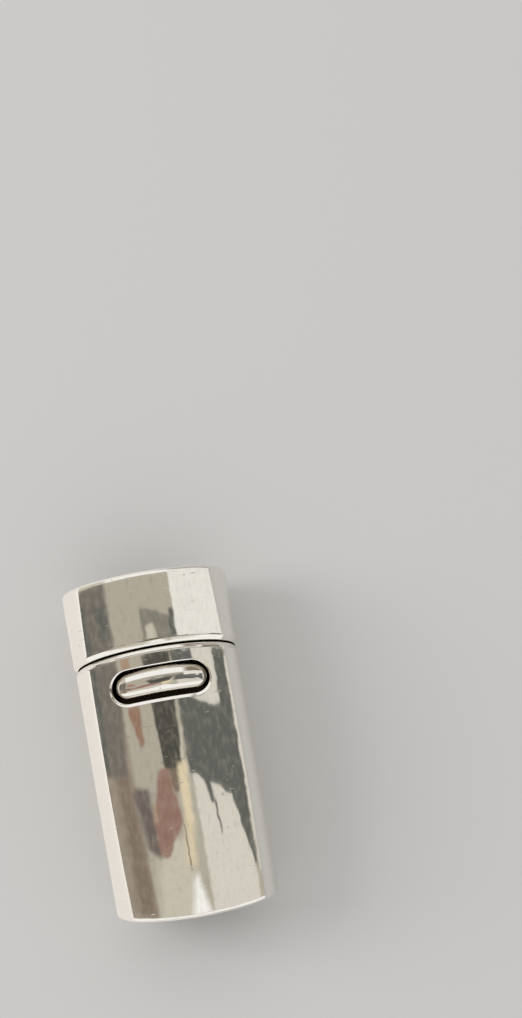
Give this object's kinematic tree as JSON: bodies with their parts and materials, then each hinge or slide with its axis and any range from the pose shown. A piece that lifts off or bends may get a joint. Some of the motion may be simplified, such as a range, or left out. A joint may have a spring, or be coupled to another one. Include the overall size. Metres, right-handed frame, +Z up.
{
  "type": "magnetic clasp",
  "caption": "Arched oval magnetic clasp for flat leather cord: a long sleeve and a short cap whose tongue snaps a bump into the sleeve's window.",
  "frame": {"origin": "on the floor, in the middle under the clasp as it lies on its concave back", "axes": "+Z up, out of the front with the window; +Y along the clasp from the sleeve to the cap; X across it"},
  "size_m": [0.0138, 0.0288, 0.0108],
  "materials": {
    "plated_metal": "mirror polished silver plating",
    "magnet": "dull nickel skin"
  },
  "bodies": {
    "sleeve_body": {"sleeve": "plated_metal", "sleeve_magnet": "magnet"},
    "cap_body": {"cap_half": "plated_metal", "tongue_magnet": "magnet"}
  },
  "joints": [
    {"name": "tilt_open", "type": "hinge", "parent": "sleeve_body", "child": "cap_body", "pos_m": [0, 0.00801, 0.01027], "axis": [1, 0, 0], "range_deg": [0, 40], "stiffness_Nm_per_rad": 0.004, "springref_deg": -28.65}
  ]
}
